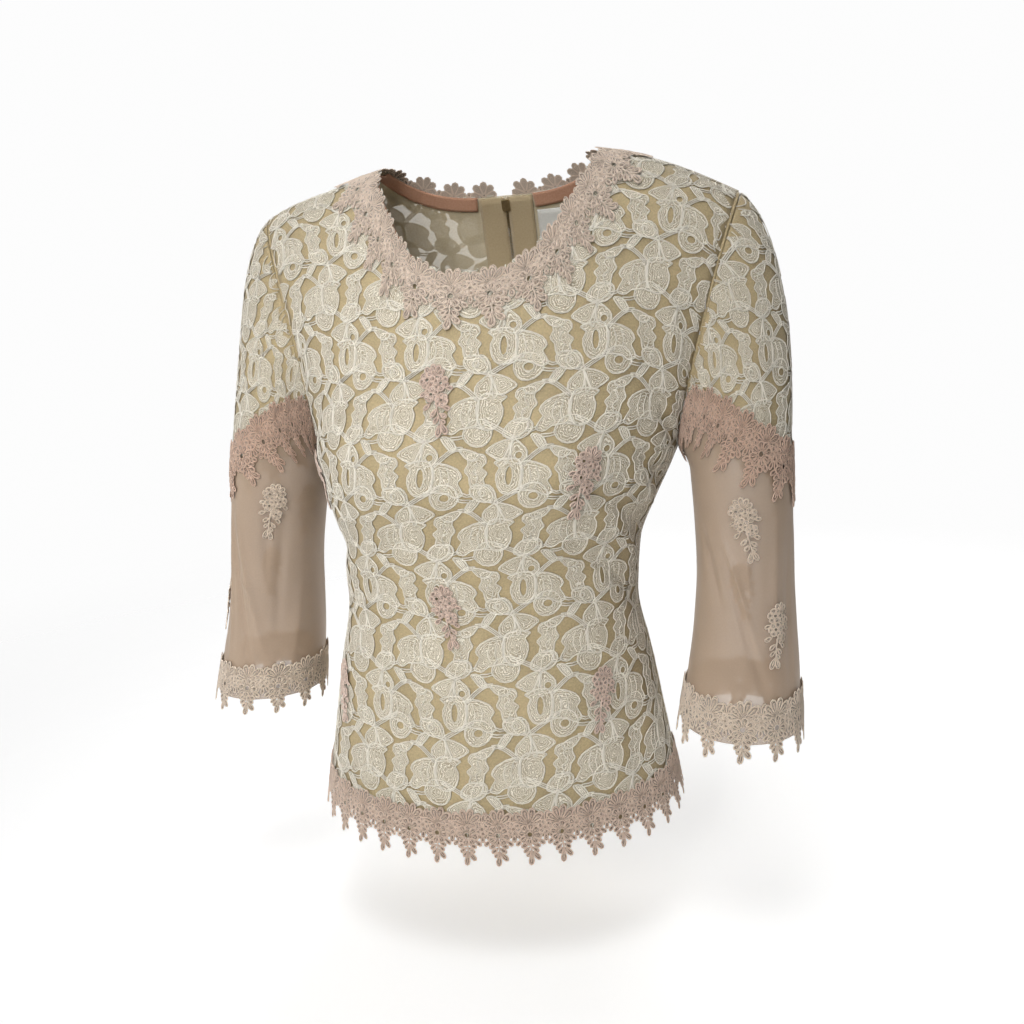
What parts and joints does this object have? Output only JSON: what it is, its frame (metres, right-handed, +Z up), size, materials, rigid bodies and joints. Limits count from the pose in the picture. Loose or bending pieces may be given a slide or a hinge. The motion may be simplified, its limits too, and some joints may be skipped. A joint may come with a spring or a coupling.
{
  "type": "lace blouse",
  "caption": "Filled-out lace blouse with a scoop neck, flower trims, three-quarter sleeves lined above and sheer below, and a zip with a pull tab at the centre back.",
  "frame": {"origin": "midway between the two neck points, level with where the shoulder lines meet the neckline, where the wearer's shoulders carry the blouse", "axes": "+Z up from hem to neck, +X to the wearer's left, the front faces -Y and the zip faces +Y"},
  "size_m": [0.5517, 0.2418, 0.5728],
  "materials": {
    "lace": "matte",
    "lining": "satin",
    "organza": "sheer",
    "neck_trim": "matte",
    "trim": "matte",
    "binding": "matte",
    "zip_tape": "matte",
    "zip_metal": "satin",
    "label": "matte",
    "applique": "matte"
  },
  "bodies": {
    "blouse": {"back_lace_left": "lace", "back_lace_right": "lace", "cuff_trim_left": "trim", "cuff_trim_right": "trim", "front_lace": "lace", "front_lining": "lining", "hem_trim": "trim", "label": "label", "neck_binding_back_left": "binding", "neck_binding_back_right": "binding", "neck_binding_front": "binding", "neck_trim": "neck_trim", "sleeve_lace_left": "lace", "sleeve_lace_right": "lace", "sleeve_lining_left": "lining", "sleeve_lining_right": "lining", "sleeve_sheer_left": "organza", "sleeve_sheer_right": "organza", "sleeve_trim_left": "trim", "sleeve_trim_right": "trim", "spray_back_left_1": "applique", "spray_back_left_2": "applique", "spray_back_left_3": "applique", "spray_back_right_1": "applique", "spray_back_right_2": "applique", "spray_back_right_3": "applique", "spray_front_1": "applique", "spray_front_2": "applique", "spray_front_3": "applique", "spray_front_4": "applique", "spray_front_5": "applique", "spray_front_6": "applique", "spray_sleeve_left_1": "applique", "spray_sleeve_left_2": "applique", "spray_sleeve_left_3": "applique", "spray_sleeve_left_4": "applique", "spray_sleeve_right_1": "applique", "spray_sleeve_right_2": "applique", "spray_sleeve_right_3": "applique", "spray_sleeve_right_4": "applique", "zip_chain": "zip_metal", "zip_slider": "zip_metal", "zip_tape_left": "zip_tape", "zip_tape_right": "zip_tape"},
    "zip_pull": {"zip_pull": "zip_metal"}
  },
  "joints": [
    {"name": "pull_swing", "type": "hinge", "parent": "blouse", "child": "zip_pull", "pos_m": [0, 0.05666, -0.02643], "axis": [1, 0, 0], "range_deg": [0, 170]}
  ]
}
